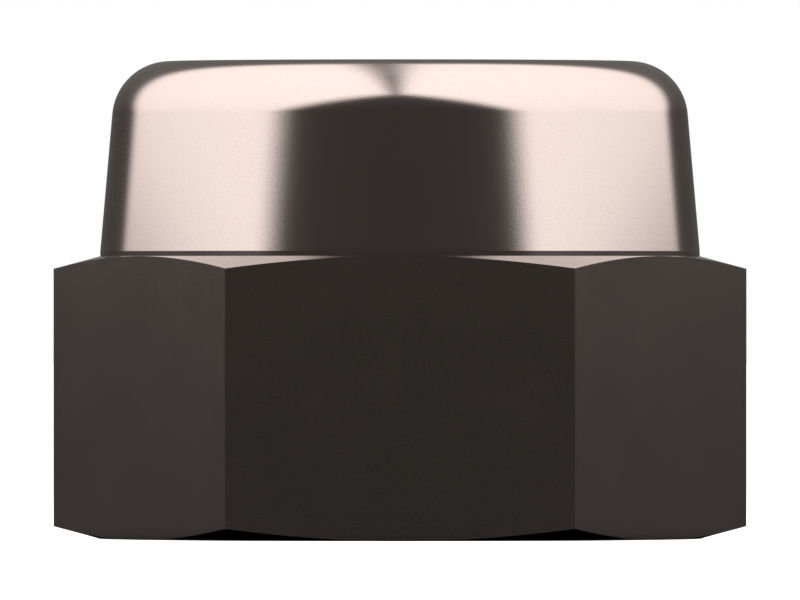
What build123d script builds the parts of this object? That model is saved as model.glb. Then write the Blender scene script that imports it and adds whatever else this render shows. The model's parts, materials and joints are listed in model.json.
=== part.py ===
"""Prevailing-torque hexagon lock nut with a nylon insert, thread M16 x 2.

The steel body is a hexagon with a tall round collar turned on top of it. The collar is bored
to take a nylon ring, and its rim is rolled inwards over the ring so that it can't come out.
A bolt screwed up through the body forms its own thread in the ring, which then grips it.

The two pieces are nut_body and nylon_insert. Lengths are in millimetres. The origin is the
centre of the bearing face, +Z points along the thread towards the rolled rim, and two corners
of the hexagon lie on the X axis.
"""

import os
from math import cos, isclose, radians, sqrt, tan

from build123d import *

# --- Driving dimensions -----------------------------------------------------------------

# Thread, a metric coarse one.
thread_diameter = 16.0
thread_pitch = 2.0

# Hexagon: its flats lie one wall outside the thread, which makes it 24 across them.
hex_wall = 4.0
hex_height = 11.3
corner_angle = 15.0  # of the turned corners, from the end faces

# Heights of the tapped body, of the ring on it, and of the rim that is rolled over the ring.
thread_height = 14.3
insert_thickness = 3.6
rim_thickness = 1.2

# Outside of the collar: a narrow upright land, then a taper up to the rolled rim.
turned_step = 0.01  # the turned faces stop this far inside the flats
land_height = 0.2
collar_taper = 5.0

# Rolled rim, given by the inside of its bend and by the lip that it leaves over the ring.
rim_bend = 1.1
lip_reach = 0.6
lip_edge = 0.35  # chamfer on the lip

# Countersinks at the two ends of the thread, with their included angles.
entry_angle = 120.0
entry_oversize = 0.35  # beyond the thread's outer radius
exit_angle = 90.0
exit_oversize = 0.1

# Nylon ring.
insert_bite = 0.6  # how far the bolt's thread reaches into the nylon
insert_gap = 0.02  # between the ring and the wall round it
insert_rise = 0.35  # how far the nylon swells up inside the lip
insert_edge = 0.3  # chamfers at both ends of its bore

# --- Dimensions that follow -------------------------------------------------------------

thread_radius = thread_diameter / 2
minor_radius = thread_radius - 5 / 8 * sqrt(3) / 2 * thread_pitch
entry_radius = thread_radius + entry_oversize
exit_radius = thread_radius + exit_oversize

flat_distance = thread_radius + hex_wall
corner_distance = flat_distance / cos(radians(30))
turned_radius = flat_distance - turned_step
corner_drop = (corner_distance - turned_radius) * tan(radians(corner_angle))

lip_underside = thread_height + insert_thickness
nut_height = lip_underside + rim_thickness

# The taper meets the top at rim_radius, and the crown rounds that corner off.
taper_start = hex_height + land_height
rim_radius = turned_radius - (nut_height - taper_start) * tan(radians(collar_taper))
crown_radius = rim_bend + rim_thickness

# The inside of the bend has the crown's centre, so the rim is equally thick all round it.
taper_at_bend = rim_radius + crown_radius * tan(radians(collar_taper))
bend_centre = taper_at_bend - crown_radius / cos(radians(collar_taper))
pocket_radius = bend_centre + rim_bend
opening_radius = bend_centre - lip_reach

insert_radius = pocket_radius - insert_gap
insert_bore = thread_radius - insert_bite
swell_radius = opening_radius - insert_gap
swell_edge = min(insert_edge, (swell_radius - insert_bore) / 3)

standing = (Align.CENTER, Align.CENTER, Align.MIN)


def rings(piece, radius):
    """Circular edges of one radius on a piece, from the lowest to the highest."""
    circles = piece.edges().filter_by(GeomType.CIRCLE)
    same_size = circles.filter_by(lambda edge: isclose(edge.radius, radius, rel_tol=1e-6))
    return same_size.sort_by(Axis.Z)


# --- Steel body -------------------------------------------------------------------------

with BuildPart() as nut_body:
    # Hexagon bar, with its corners turned off to a shallow cone at both ends.
    with BuildSketch(Plane.XY):
        RegularPolygon(flat_distance, side_count=6, major_radius=False)
    extrude(amount=hex_height)
    with BuildSketch(Plane.XZ):
        with BuildLine():
            Polyline(
                (0, 0),
                (turned_radius, 0),
                (corner_distance, corner_drop),
                (corner_distance, hex_height - corner_drop),
                (turned_radius, hex_height),
                (0, hex_height),
                close=True,
            )
        make_face()
    revolve(axis=Axis.Z, mode=Mode.INTERSECT)

    # Collar, from the land at its foot to the crown of the rolled rim.
    with BuildSketch(Plane.XZ):
        with BuildLine():
            Polyline(
                (0, hex_height),
                (turned_radius, hex_height),
                (turned_radius, taper_start),
                (rim_radius, nut_height),
                (0, nut_height),
                close=True,
            )
        make_face()
    revolve(axis=Axis.Z)
    fillet(rings(nut_body, rim_radius), radius=crown_radius)

    # Pocket that the ring sits in, bent over at the top, and the opening inside the lip.
    with Locations((0, 0, thread_height)):
        Cylinder(pocket_radius, insert_thickness, align=standing, mode=Mode.SUBTRACT)
    fillet(rings(nut_body, pocket_radius)[-1], radius=rim_bend)
    with Locations((0, 0, nut_height)):
        Hole(opening_radius, depth=rim_thickness)
    chamfer(rings(nut_body, opening_radius)[-1], length=lip_edge)

    # Tapped hole at its crest diameter, countersunk under the ring and at the bearing face.
    with Locations(Plane.XY.offset(thread_height)):
        CounterSinkHole(minor_radius, exit_radius, thread_height, exit_angle)
    with Locations(-Plane.XY):
        CounterSinkHole(minor_radius, entry_radius, thread_height, entry_angle)

nut_body.part.label = "nut_body"

# --- Nylon ring -------------------------------------------------------------------------

with BuildPart() as nylon_insert:
    # The ring's upper corner is cut off, so that it clears the bend of the rolled rim.
    with Locations((0, 0, thread_height)):
        Cylinder(insert_radius, insert_thickness, align=standing)
    chamfer(rings(nylon_insert, insert_radius)[-1], length=rim_bend)

    # Inside the lip it swells up a little. A bolt's thread bites into the plain bore.
    with Locations((0, 0, lip_underside)):
        Cylinder(swell_radius, insert_rise, align=standing)
    with Locations((0, 0, lip_underside + insert_rise)):
        Hole(insert_bore, depth=insert_thickness + insert_rise)
    bore_foot, bore_mouth = rings(nylon_insert, insert_bore)
    swell_top = rings(nylon_insert, swell_radius)[-1]
    chamfer(bore_foot, length=insert_edge)
    chamfer((bore_mouth, swell_top), length=swell_edge)

nylon_insert.part.label = "nylon_insert"

# --- Files ------------------------------------------------------------------------------

os.makedirs("parts", exist_ok=True)
for piece in (nut_body, nylon_insert):
    export_step(piece.part, f"parts/{piece.part.label}.step")
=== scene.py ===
"""Looks of a hexagon lock nut with a nylon ring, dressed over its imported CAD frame, in metres."""

import json
import math

import bpy
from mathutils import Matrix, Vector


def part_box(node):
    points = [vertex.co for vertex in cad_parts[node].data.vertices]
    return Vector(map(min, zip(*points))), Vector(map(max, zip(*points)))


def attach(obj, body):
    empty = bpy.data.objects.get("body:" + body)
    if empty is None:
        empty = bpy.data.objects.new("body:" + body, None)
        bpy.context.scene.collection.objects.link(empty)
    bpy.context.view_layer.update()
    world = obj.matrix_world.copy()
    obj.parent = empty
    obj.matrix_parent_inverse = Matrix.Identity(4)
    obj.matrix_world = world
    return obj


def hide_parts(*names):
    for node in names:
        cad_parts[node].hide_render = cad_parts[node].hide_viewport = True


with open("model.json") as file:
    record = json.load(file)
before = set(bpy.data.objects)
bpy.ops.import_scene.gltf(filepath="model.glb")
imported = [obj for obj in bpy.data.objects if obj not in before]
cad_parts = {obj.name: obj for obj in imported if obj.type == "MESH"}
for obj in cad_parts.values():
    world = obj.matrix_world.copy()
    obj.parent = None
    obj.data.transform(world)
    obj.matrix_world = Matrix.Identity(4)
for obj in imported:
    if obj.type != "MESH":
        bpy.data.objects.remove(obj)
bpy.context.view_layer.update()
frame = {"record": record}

# --- Steel body ---------------------------------------------------------------------------
# Cold-formed from steel bar, turned at both ends and on the collar, with a dark brown-black
# oxide finish. The collar's rim is rolled in over the nylon ring, and the bore is tapped.

MM = 0.001
mounts = {mount["name"]: mount for mount in frame["record"]["mounts"]}

_, body_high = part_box("nut_body")
flat_reach = body_high.y
nut_height = body_high.z
hex_height = 11.3 * MM
turned_reach = flat_reach - 0.01 * MM  # turned faces stop just inside the flats
corner_slope = math.tan(math.radians(15))
taper_foot = hex_height + 0.2 * MM  # over a narrow upright land
taper_angle = math.radians(5)

# Tapped hole: its pitch follows from how deep a metric thread is cut.
bore_reach = mounts["thread"]["dims"]["r_mm"] * MM
thread_reach = 8.0 * MM
flank_angle = math.radians(30)
thread_pitch = (thread_reach - bore_reach) / (5 / 8 * math.cos(flank_angle))
entry_reach = thread_reach + 0.35 * MM
entry_slope = math.tan(math.radians(30))  # countersunk at 120 degrees
exit_reach = thread_reach + 0.1 * MM
exit_slope = math.tan(math.radians(45))  # countersunk at 90 degrees

# Pocket for the ring, and the rim rolled over it round one bend centre.
pocket_floor = 14.3 * MM
rim_thickness = 1.2 * MM
rim_bend = 1.1 * MM
crown_bend = rim_bend + rim_thickness
bend_height = nut_height - crown_bend
lip_nose = 0.35 * MM
lip_reach = 0.6 * MM
rim_reach = turned_reach - (nut_height - taper_foot) * math.tan(taper_angle)
bend_reach = (
    rim_reach + crown_bend * math.tan(taper_angle) - crown_bend / math.cos(taper_angle)
)
pocket_reach = bend_reach + rim_bend
opening_reach = bend_reach - lip_reach


def bend(reach, height, radius, start, end, steps):
    """Points of an arc in the half-section, each as its distance from the axis and its height.

    The steps are finer than the crease that smooth_but_crisp leaves sharp.
    """
    angles = [math.radians(start + (end - start) * i / steps) for i in range(steps + 1)]
    return [(reach + radius * math.cos(a), height + radius * math.sin(a)) for a in angles]


def hexagon_reach(turn):
    """Distance from the axis to the hexagon's side, with two corners on the X axis."""
    return flat_reach / math.cos(turn % math.radians(60) - math.radians(30))


def body_section(turn):
    """The body's closed half-section at one angle round the axis."""
    side = hexagon_reach(turn)
    drop = (side - turned_reach) * corner_slope
    outside = [
        (entry_reach, 0),
        (turned_reach, 0),
        (side, drop),
        (side, hex_height - drop),
        (turned_reach, hex_height),
        (turned_reach, taper_foot),
    ]
    crown = bend(bend_reach, bend_height, crown_bend, math.degrees(taper_angle), 90, steps=40)
    nose = bend(opening_reach + lip_nose, nut_height - lip_nose, lip_nose, 90, 180, steps=26)
    inner_bend = bend(bend_reach, bend_height, rim_bend, 90, 0, steps=30)
    inside = [
        (pocket_reach, pocket_floor),
        (exit_reach, pocket_floor),
        (bore_reach, pocket_floor - (exit_reach - bore_reach) * exit_slope),
        (bore_reach, (entry_reach - bore_reach) * entry_slope),
    ]
    lip_foot = [(opening_reach, bend_height + rim_bend)]
    return outside + crown + nose + lip_foot + inner_bend + inside


def skin(name, points, faces, finishes):
    """A piece made of these faces, each with the number of its finish."""
    mesh = bpy.data.meshes.new(name)
    mesh.from_pydata(points, [], faces)
    mesh.polygons.foreach_set("material_index", finishes)
    mesh.update()
    piece = bpy.data.objects.new(name, mesh)
    bpy.context.scene.collection.objects.link(piece)
    return piece


columns = 240  # round the axis, so that one falls on each corner of the hexagon


def spin(name, section, finish_of):
    """A solid made by carrying a closed half-section once round the axis."""
    turns = [math.tau * i / columns for i in range(columns)]
    loops = [section(turn) for turn in turns]
    points = [
        (reach * math.cos(turn), reach * math.sin(turn), height)
        for turn, loop in zip(turns, loops)
        for reach, height in loop
    ]
    count = len(loops[0])
    faces = []
    finishes = []
    for i in range(columns):
        here, there = i * count, (i + 1) % columns * count
        for j in range(count):
            k = (j + 1) % count
            faces.append((here + j, there + j, there + k, here + k))
            finishes.append(finish_of(j))
    return skin(name, points, faces, finishes)


# Finishes by stretch of the half-section: the turned corners, the flats and the corners again.
FLATS, TURNED, CORNERS = 0, 1, 2
stretches = {1: CORNERS, 2: FLATS, 3: CORNERS}

body = spin("steel_body", body_section, lambda stretch: stretches.get(stretch, TURNED))


def tap(name, steps=120, core=6.6 * MM):
    """A thread-cutting tap: a right-hand helical ridge on a core, closed at both ends."""
    root = thread_pitch / 16  # half of the narrow flat at the thread's root
    foot = root + (thread_reach - core) * math.tan(flank_angle)
    ridge = [(core, -foot), (thread_reach, -root), (thread_reach, root), (core, foot)]
    first = -2 * thread_pitch
    last_turn = math.ceil((pocket_floor - first) / thread_pitch) + 1
    points = []
    for i in range(steps * last_turn + 1):
        turn = math.tau * i / steps
        rise = first + thread_pitch * i / steps
        points += [(r * math.cos(turn), r * math.sin(turn), rise + dz) for r, dz in ridge]
    faces = []
    last = steps * last_turn
    for i in range(last):
        a, b = 4 * i, 4 * (i + 1)
        faces += [(a + k, b + k, b + k + 1, a + k + 1) for k in range(3)]
        if i + steps < last:
            above, after = a + 4 * steps, b + 4 * steps
            faces.append((a + 3, b + 3, after, above))
    start_rim = [4 * i for i in range(steps + 1)] + [3, 2, 1]
    end_rim = [4 * i + 3 for i in range(last, last - steps - 1, -1)]
    end_rim += [4 * last, 4 * last + 1, 4 * last + 2]
    points += [(0, 0, first - thread_pitch), (0, 0, points[4 * last][2] + thread_pitch)]
    for tip, rim in ((-2, start_rim), (-1, end_rim)):
        centre = len(points) + tip
        for here, there in zip(rim, rim[1:] + rim[:1]):
            faces.append((centre, there, here))
    return skin(name, points, faces, [TURNED] * len(faces))


thread_tap = tap("thread_tap")
cut = body.modifiers.new("thread", "BOOLEAN")
cut.operation = "DIFFERENCE"
cut.object = thread_tap
cut.solver = "MANIFOLD"
threaded = bpy.data.meshes.new_from_object(
    body.evaluated_get(bpy.context.evaluated_depsgraph_get())
)
body.modifiers.clear()
body.data = threaded
bpy.data.objects.remove(thread_tap)


def smooth_but_crisp(piece, crease=4):
    """Smooth shading, broken at every edge that turns by more than the crease in degrees."""
    piece.data.shade_smooth()
    piece.data.set_sharp_from_angle(angle=math.radians(crease))


smooth_but_crisp(body)


def shader(name):
    """A new material, with its tree and its surface shader."""
    material = bpy.data.materials.new(name)
    material.use_nodes = True
    return material, material.node_tree, material.node_tree.nodes["Principled BSDF"]


def add(tree, kind, settings=(), **sockets):
    """A node with its settings and its socket values, or links where a value is a socket."""
    node = tree.nodes.new(kind)
    for key, value in dict(settings).items():
        setattr(node, key, value)
    for key, value in sockets.items():
        put(tree, node, key, value)
    return node


def put(tree, node, key, value):
    """Sets one input of a node, by name or by number after an underscore."""
    name = int(key[1:]) if key.startswith("_") else key.replace("_", " ")
    if isinstance(value, bpy.types.NodeSocket):
        tree.links.new(value, node.inputs[name])
    else:
        node.inputs[name].default_value = value


def grain(tree, where, size, detail):
    """Noise whose lumps are about one size, in metres, as a value from 0 to 1."""
    noise = add(tree, "ShaderNodeTexNoise", Vector=where, Scale=1 / size, Detail=detail)
    return noise.outputs["Fac"]


def spread(tree, noise, low, high):
    """Noise, nearly all of it from 0.3 to 0.7, made to run from one value to another."""
    return add(
        tree, "ShaderNodeMapRange", _0=noise, _1=0.3, _2=0.7, _3=low, _4=high
    ).outputs[0]


def oxide_steel(name, base, edge, depth, marks_direction, marks_size, marks_height, oil=0):
    """Dark oxide on steel, cloudy and finely grained, with the marks of the tool or the die."""
    polish, relief_depth, up_stretch = 0.145, 0.0008 * MM, 50
    material, tree, surface = shader(name)
    place = add(tree, "ShaderNodeTexCoord").outputs["Object"]
    if marks_direction == "round":
        flat = add(
            tree, "ShaderNodeVectorMath", {"operation": "MULTIPLY"}, _0=place, _1=(1, 1, 0)
        )
        reach = add(tree, "ShaderNodeVectorMath", {"operation": "LENGTH"}, _0=flat.outputs[0])
        height = add(tree, "ShaderNodeSeparateXYZ", Vector=place)
        along = add(
            tree, "ShaderNodeCombineXYZ", X=reach.outputs["Value"], Y=height.outputs["Z"]
        ).outputs[0]
    else:
        along = add(
            tree, "ShaderNodeVectorMath", {"operation": "MULTIPLY"}, _0=place,
            _1=(1, 1, 1 / up_stretch),
        ).outputs[0]
    clouds = grain(tree, place, 3.0 * MM, detail=4)
    specks = grain(tree, place, 0.08 * MM, detail=1)
    marks = grain(tree, along, marks_size, detail=1)

    tone = add(
        tree, "ShaderNodeMath", {"operation": "ADD"},
        _0=spread(tree, clouds, -0.10, 0.10), _1=spread(tree, specks, -0.4, 0.4),
    )
    tint = add(
        tree, "ShaderNodeMapRange", _0=tone.outputs[0], _1=-0.5, _2=0.5, _3=0.0, _4=1.0
    )
    colour = add(tree, "ShaderNodeMix", {"data_type": "RGBA"}, _0=tint.outputs[0])
    colour.inputs[6].default_value = [(1 - depth) * value for value in base] + [1]
    colour.inputs[7].default_value = [(1 + depth) * value for value in base] + [1]
    put(tree, surface, "Base_Color", colour.outputs[2])
    put(tree, surface, "Roughness", spread(tree, clouds, polish - 0.002, polish + 0.002))
    surface.inputs["Metallic"].default_value = 1.0
    surface.inputs["Specular Tint"].default_value = (*edge, 1)
    surface.inputs["Coat Weight"].default_value = oil
    surface.inputs["Coat Roughness"].default_value = polish

    heights = add(
        tree, "ShaderNodeMath", {"operation": "MULTIPLY_ADD"},
        _0=marks, _1=marks_height, _2=specks,
    )
    relief = add(
        tree, "ShaderNodeBump", Strength=1.0, Distance=relief_depth, Height=heights.outputs[0]
    )
    put(tree, surface, "Normal", relief.outputs[0])
    return material


# Colours of the bare oxide, and of the darker oxide under a film of oil that clings to the
# turned corners. The second colour of each is how it tints what glances off it.
oxide, oxide_edge = (0.300, 0.250, 0.232), (0.72, 0.675, 0.655)
oiled_oxide, oiled_edge = (0.112, 0.104, 0.096), (1.0, 1.0, 1.0)
finishes = (
    oxide_steel("pressed_flats", oxide, oxide_edge, 0.20, "up", 0.12 * MM, 0.1),
    oxide_steel("turned_collar", oxide, oxide_edge, 0.035, "round", 0.10 * MM, 0.04),
    oxide_steel(
        "turned_corners", oiled_oxide, oiled_edge, 0.035, "round", 0.10 * MM, 0.04, oil=1
    ),
)
body.data.materials[0] = finishes[0]
for finish in finishes[1:]:
    body.data.materials.append(finish)

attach(body, "root")
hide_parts("nut_body")

# --- Nylon ring ---------------------------------------------------------------------------
# Moulded in natural nylon and dropped into the collar's pocket, where the rolled rim holds it
# down. A bolt forms its own thread in the plain bore, so the bore is smaller than the thread.

_, ring_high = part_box("nylon_insert")
ring_reach = ring_high.y
ring_bore = mounts["insert_grip"]["dims"]["r_mm"] * MM
ring_top = ring_high.z
lip_underside = bend_height + rim_bend
swell_reach = opening_reach - 0.02 * MM  # clear of the lip
mouth_round = 0.3 * MM


def ring_section(turn):
    """The ring's closed half-section, rounded inside the lip and the same at every turn."""
    foot = [
        (ring_bore, pocket_floor + mouth_round),
        (ring_bore + mouth_round, pocket_floor),
        (ring_reach, pocket_floor),
        (ring_reach, lip_underside - rim_bend),
        (ring_reach - rim_bend, lip_underside),
        (swell_reach, lip_underside),
    ]
    round_height = ring_top - mouth_round
    shoulder = bend(swell_reach - mouth_round, round_height, mouth_round, 0, 90, steps=26)
    mouth = bend(ring_bore + mouth_round, round_height, mouth_round, 90, 180, steps=26)
    return foot + shoulder + mouth


ring = spin("nylon_ring", ring_section, lambda stretch: 0)
smooth_but_crisp(ring)


def milky_nylon(name):
    """Natural nylon: milky, with light that soaks a little way in, and a satin moulded skin."""
    material, tree, surface = shader(name)
    place = add(tree, "ShaderNodeTexCoord").outputs["Object"]
    clouds = grain(tree, place, 2.5 * MM, detail=3)
    satin = grain(tree, place, 0.15 * MM, detail=2)
    colour = add(tree, "ShaderNodeMix", {"data_type": "RGBA"}, _0=spread(tree, clouds, 0, 1))
    colour.inputs[6].default_value = (0.77, 0.75, 0.66, 1)
    colour.inputs[7].default_value = (0.83, 0.81, 0.74, 1)
    put(tree, surface, "Base_Color", colour.outputs[2])
    put(tree, surface, "Roughness", spread(tree, satin, 0.36, 0.46))
    surface.inputs["Subsurface Weight"].default_value = 0.35
    surface.inputs["Subsurface Radius"].default_value = (1.0, 0.9, 0.7)
    surface.inputs["Subsurface Scale"].default_value = 0.6 * MM
    surface.inputs["IOR"].default_value = 1.53
    relief = add(tree, "ShaderNodeBump", Strength=1.0, Distance=0.004 * MM, Height=satin)
    put(tree, surface, "Normal", relief.outputs[0])
    return material


ring.data.materials.append(milky_nylon("natural_nylon_skin"))
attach(ring, "root")
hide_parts("nylon_insert")

# --- Floor and dark drapes ----------------------------------------------------------------
# A pale table that the nut stands on. Dark drapes hang all round it and a dark mat lies on the
# table, with a black disc for the nut's contact shadow. Only metal and gloss show them.


def board(name, corners, faces, material):
    """Flat sheets given by their corners, which are part of the stage."""
    piece = skin(name, corners, faces, [0] * len(faces))
    piece.data.materials.append(material)
    return piece


def lying(reach, front, back, height):
    """Corners of a level sheet."""
    return [
        (-reach, front, height), (reach, front, height),
        (reach, back, height), (-reach, back, height),
    ]


def seen_directly(tree):
    """1 for rays that come from the camera, a reflection or a clear piece, otherwise 0."""
    rays = add(tree, "ShaderNodeLightPath")
    either = add(
        tree, "ShaderNodeMath", {"operation": "MAXIMUM"},
        _0=rays.outputs["Is Camera Ray"], _1=rays.outputs["Is Glossy Ray"],
    )
    return add(
        tree, "ShaderNodeMath", {"operation": "MAXIMUM"},
        _0=either.outputs[0], _1=rays.outputs["Is Transmission Ray"],
    ).outputs[0]


def pale_table():
    """Matt pale grey, which shows as white wherever it is seen directly."""
    material, tree, surface = shader("pale_table")
    surface.inputs["Base Color"].default_value = (0.8, 0.8, 0.8, 1)
    surface.inputs["Roughness"].default_value = 0.9
    surface.inputs["Specular IOR Level"].default_value = 0.0
    surface.inputs["Emission Color"].default_value = (1, 1, 1, 1)
    glow = add(
        tree, "ShaderNodeMath", {"operation": "MULTIPLY"}, _0=seen_directly(tree), _1=0.8
    )
    put(tree, surface, "Emission_Strength", glow.outputs[0])
    material.cycles.emission_sampling = "NONE"
    return material


def cloth(name, colour, level, rise=0.0):
    """Cloth as bright as what it sends back, and brighter the higher it hangs."""
    material, tree, surface = shader(name)
    surface.inputs["Base Color"].default_value = (0, 0, 0, 1)
    surface.inputs["Specular IOR Level"].default_value = 0.0
    surface.inputs["Emission Color"].default_value = (*colour, 1)
    surface.inputs["Emission Strength"].default_value = level
    if rise:
        place = add(tree, "ShaderNodeTexCoord").outputs["Object"]
        way = add(tree, "ShaderNodeVectorMath", {"operation": "NORMALIZE"}, _0=place)
        height = add(tree, "ShaderNodeSeparateXYZ", Vector=way.outputs[0])
        glow = add(
            tree, "ShaderNodeMath", {"operation": "MULTIPLY_ADD"},
            _0=height.outputs["Z"], _1=rise, _2=level,
        )
        put(tree, surface, "Emission_Strength", glow.outputs[0])
    material.cycles.emission_sampling = "NONE"
    return material


def half_room(name, end, material):
    """Two sides, an end and a ceiling that close one half of the set."""
    reach = abs(end)
    foot = [(-reach, 0, 0), (-reach, end, 0), (reach, end, 0), (reach, 0, 0)]
    head = [(x, y, reach) for x, y, _ in foot]
    sides = [(i, i + 1, i + 5, i + 4) for i in range(3)]
    return board(name, foot + head, sides + [(4, 5, 6, 7)], material)


one_sheet = [range(4)]
table_reach = 3.0
board("floor", lying(table_reach, -table_reach, table_reach, 0), one_sheet, pale_table())

# The drapes close a room round the nut. The mat and the disc lie just clear of the table.
room = 0.5
mat_height, disc_height = 0.01 * MM, 0.02 * MM
disc_reach = 14.6 * MM
disc_turns = [math.tau * i / 48 for i in range(48)]
disc = [(disc_reach * math.cos(a), disc_reach * math.sin(a), disc_height) for a in disc_turns]
drapes = [
    half_room("front_drape", -room, cloth("front_cloth", (1.0, 1.01, 0.95), 0.093, rise=0.038)),
    half_room("back_drape", room, cloth("back_cloth", (1.0, 1.03, 1.0), 0.117, rise=0.46)),
    board(
        "front_mat", lying(room, -room, 0, mat_height), one_sheet,
        cloth("front_mat_cloth", (1.0, 1.01, 0.96), 0.066),
    ),
    board(
        "back_mat", lying(room, 0, room, mat_height), one_sheet,
        cloth("back_mat_cloth", (1.0, 1.02, 0.98), 0.105),
    ),
    # A black disc that paints the nut's contact shadow into the reflections of its lowest faces.
    board(
        "contact_disc", disc, [range(len(disc))], cloth("painted_contact_shadow", (1.0, 1.0, 1.0), 0.0)
    ),
]


def only_in_gloss(piece):
    """Shows a piece of the stage to reflections, and to nothing else."""
    piece.visible_camera = False
    piece.visible_diffuse = False
    piece.visible_transmission = False
    piece.visible_shadow = False


for drape in drapes:
    only_in_gloss(drape)

# --- Studio light -------------------------------------------------------------------------
# A flat soft light leans over the nut from each side, and is narrower at its top. Its bright
# cloth fades at the edges and shows only in gloss, and a plain lamp in its place lights the
# matt surfaces.

low_fade, side_fade, high_fade = 38 * MM, 56 * MM, 20 * MM
drape_tone, full_glow, plain_glow = 0.10, 3.48, 0.8

# How lit a cloth is where its fades end, and out at its edges. Both run round the corners from
# low in front by low at the back and high at the back to high in front.
inner_lit = (0.79, 0.76, 1, 1)
edge_lit = (0, 0, 0.25, 0.25)


def cloth_corners(low, high, front, back_low, back_high, drawn_in):
    """Corners of a leaning cloth, drawn in from its edges by a share of each one's fade."""
    width = math.dist(low, high)
    side = drawn_in * side_fade

    def pair(share):
        """The front and the back corner at one share of the way up."""
        across, up = (a + (b - a) * share for a, b in zip(low, high))
        back = back_low + (back_high - back_low) * share
        return [(across, front + side, up), (across, back - side, up)]

    return pair(drawn_in * low_fade / width) + pair(1 - drawn_in * high_fade / width)[::-1]


def lit_cloth(name):
    """Cloth lit from behind, which fades to the tone of the drapes along its edges."""
    material = cloth(name, (1.0, 1.0, 1.0), 1.0)
    tree = material.node_tree
    lit = add(tree, "ShaderNodeAttribute", {"attribute_name": "lit"})
    glow = add(
        tree, "ShaderNodeMapRange", {"interpolation_type": "SMOOTHSTEP"},
        _0=lit.outputs["Fac"], _1=0.0, _2=1.0, _3=drape_tone, _4=full_glow,
    )
    put(tree, tree.nodes["Principled BSDF"], "Emission_Strength", glow.outputs[0])
    return material


# Each cloth is given by the places, across and up, of its low and its high edge, by how far
# both reach to the front, and by how far the low and the high one reach to the back.
border = [(i, (i + 1) % 4, (i + 1) % 4 + 4, i + 4) for i in range(4)]
for word, *edges in (
    ("left", (-0.224, 0.0275), (-0.017, 0.180), -0.161, 0.191, 0.132),
    ("right", (0.225, 0.0285), (0.004, 0.197), -0.174, 0.207, 0.144),
):
    fading = cloth_corners(*edges, 0.5) + cloth_corners(*edges, -0.5)
    soft_box = board(
        f"{word}_soft_box", fading, one_sheet + border, lit_cloth(f"{word}_lit_cloth")
    )
    lit = soft_box.data.attributes.new("lit", "FLOAT", "POINT")
    lit.data.foreach_set("value", inner_lit + edge_lit)
    only_in_gloss(soft_box)

    low, high, front, back_low, back_high = edges
    across, up = high[0] - low[0], high[1] - low[1]
    lamp = bpy.data.lights.new(f"{word}_plain_lamp", "AREA")
    lamp.shape = "RECTANGLE"
    lamp.size = math.hypot(across, up)
    lamp.size_y = (back_low + back_high) / 2 - front
    lamp.energy = plain_glow * math.pi * lamp.size * lamp.size_y
    holder = bpy.data.objects.new(lamp.name, lamp)
    holder.location = [sum(values) / 4 for values in zip(*cloth_corners(*edges, 0))]
    holder.rotation_euler.y = math.copysign(math.atan2(up, abs(across)), low[0])
    bpy.context.scene.collection.objects.link(holder)
    holder.visible_camera = False
    holder.visible_glossy = False

# A plain sky, which is white where it is seen directly.
world = bpy.data.worlds.new("studio")
bpy.context.scene.world = world
world.use_nodes = True
sky = world.node_tree.nodes["Background"]
sky.inputs["Color"].default_value = (1, 1, 1, 1)
level = add(
    world.node_tree, "ShaderNodeMapRange", _0=seen_directly(world.node_tree),
    _1=0.0, _2=1.0, _3=0.5, _4=1.0,
)
put(world.node_tree, sky, "Strength", level.outputs[0])
world.cycles.sampling_method = "NONE"

# --- Camera -------------------------------------------------------------------------------
# Level with the middle of the nut, far off and through a long lens, so that it looks straight
# on to one flat.

lens = bpy.data.cameras.new("camera")
lens.lens = 1250
stand_off = 1.111
lens.clip_start = 0.01
lens.clip_end = 10
camera = bpy.data.objects.new("camera", lens)
camera.location = (0, -stand_off, nut_height / 2)
camera.rotation_euler = (math.radians(90), 0, 0)
bpy.context.scene.collection.objects.link(camera)
bpy.context.scene.camera = camera
bpy.context.scene.view_settings.view_transform = "Standard"
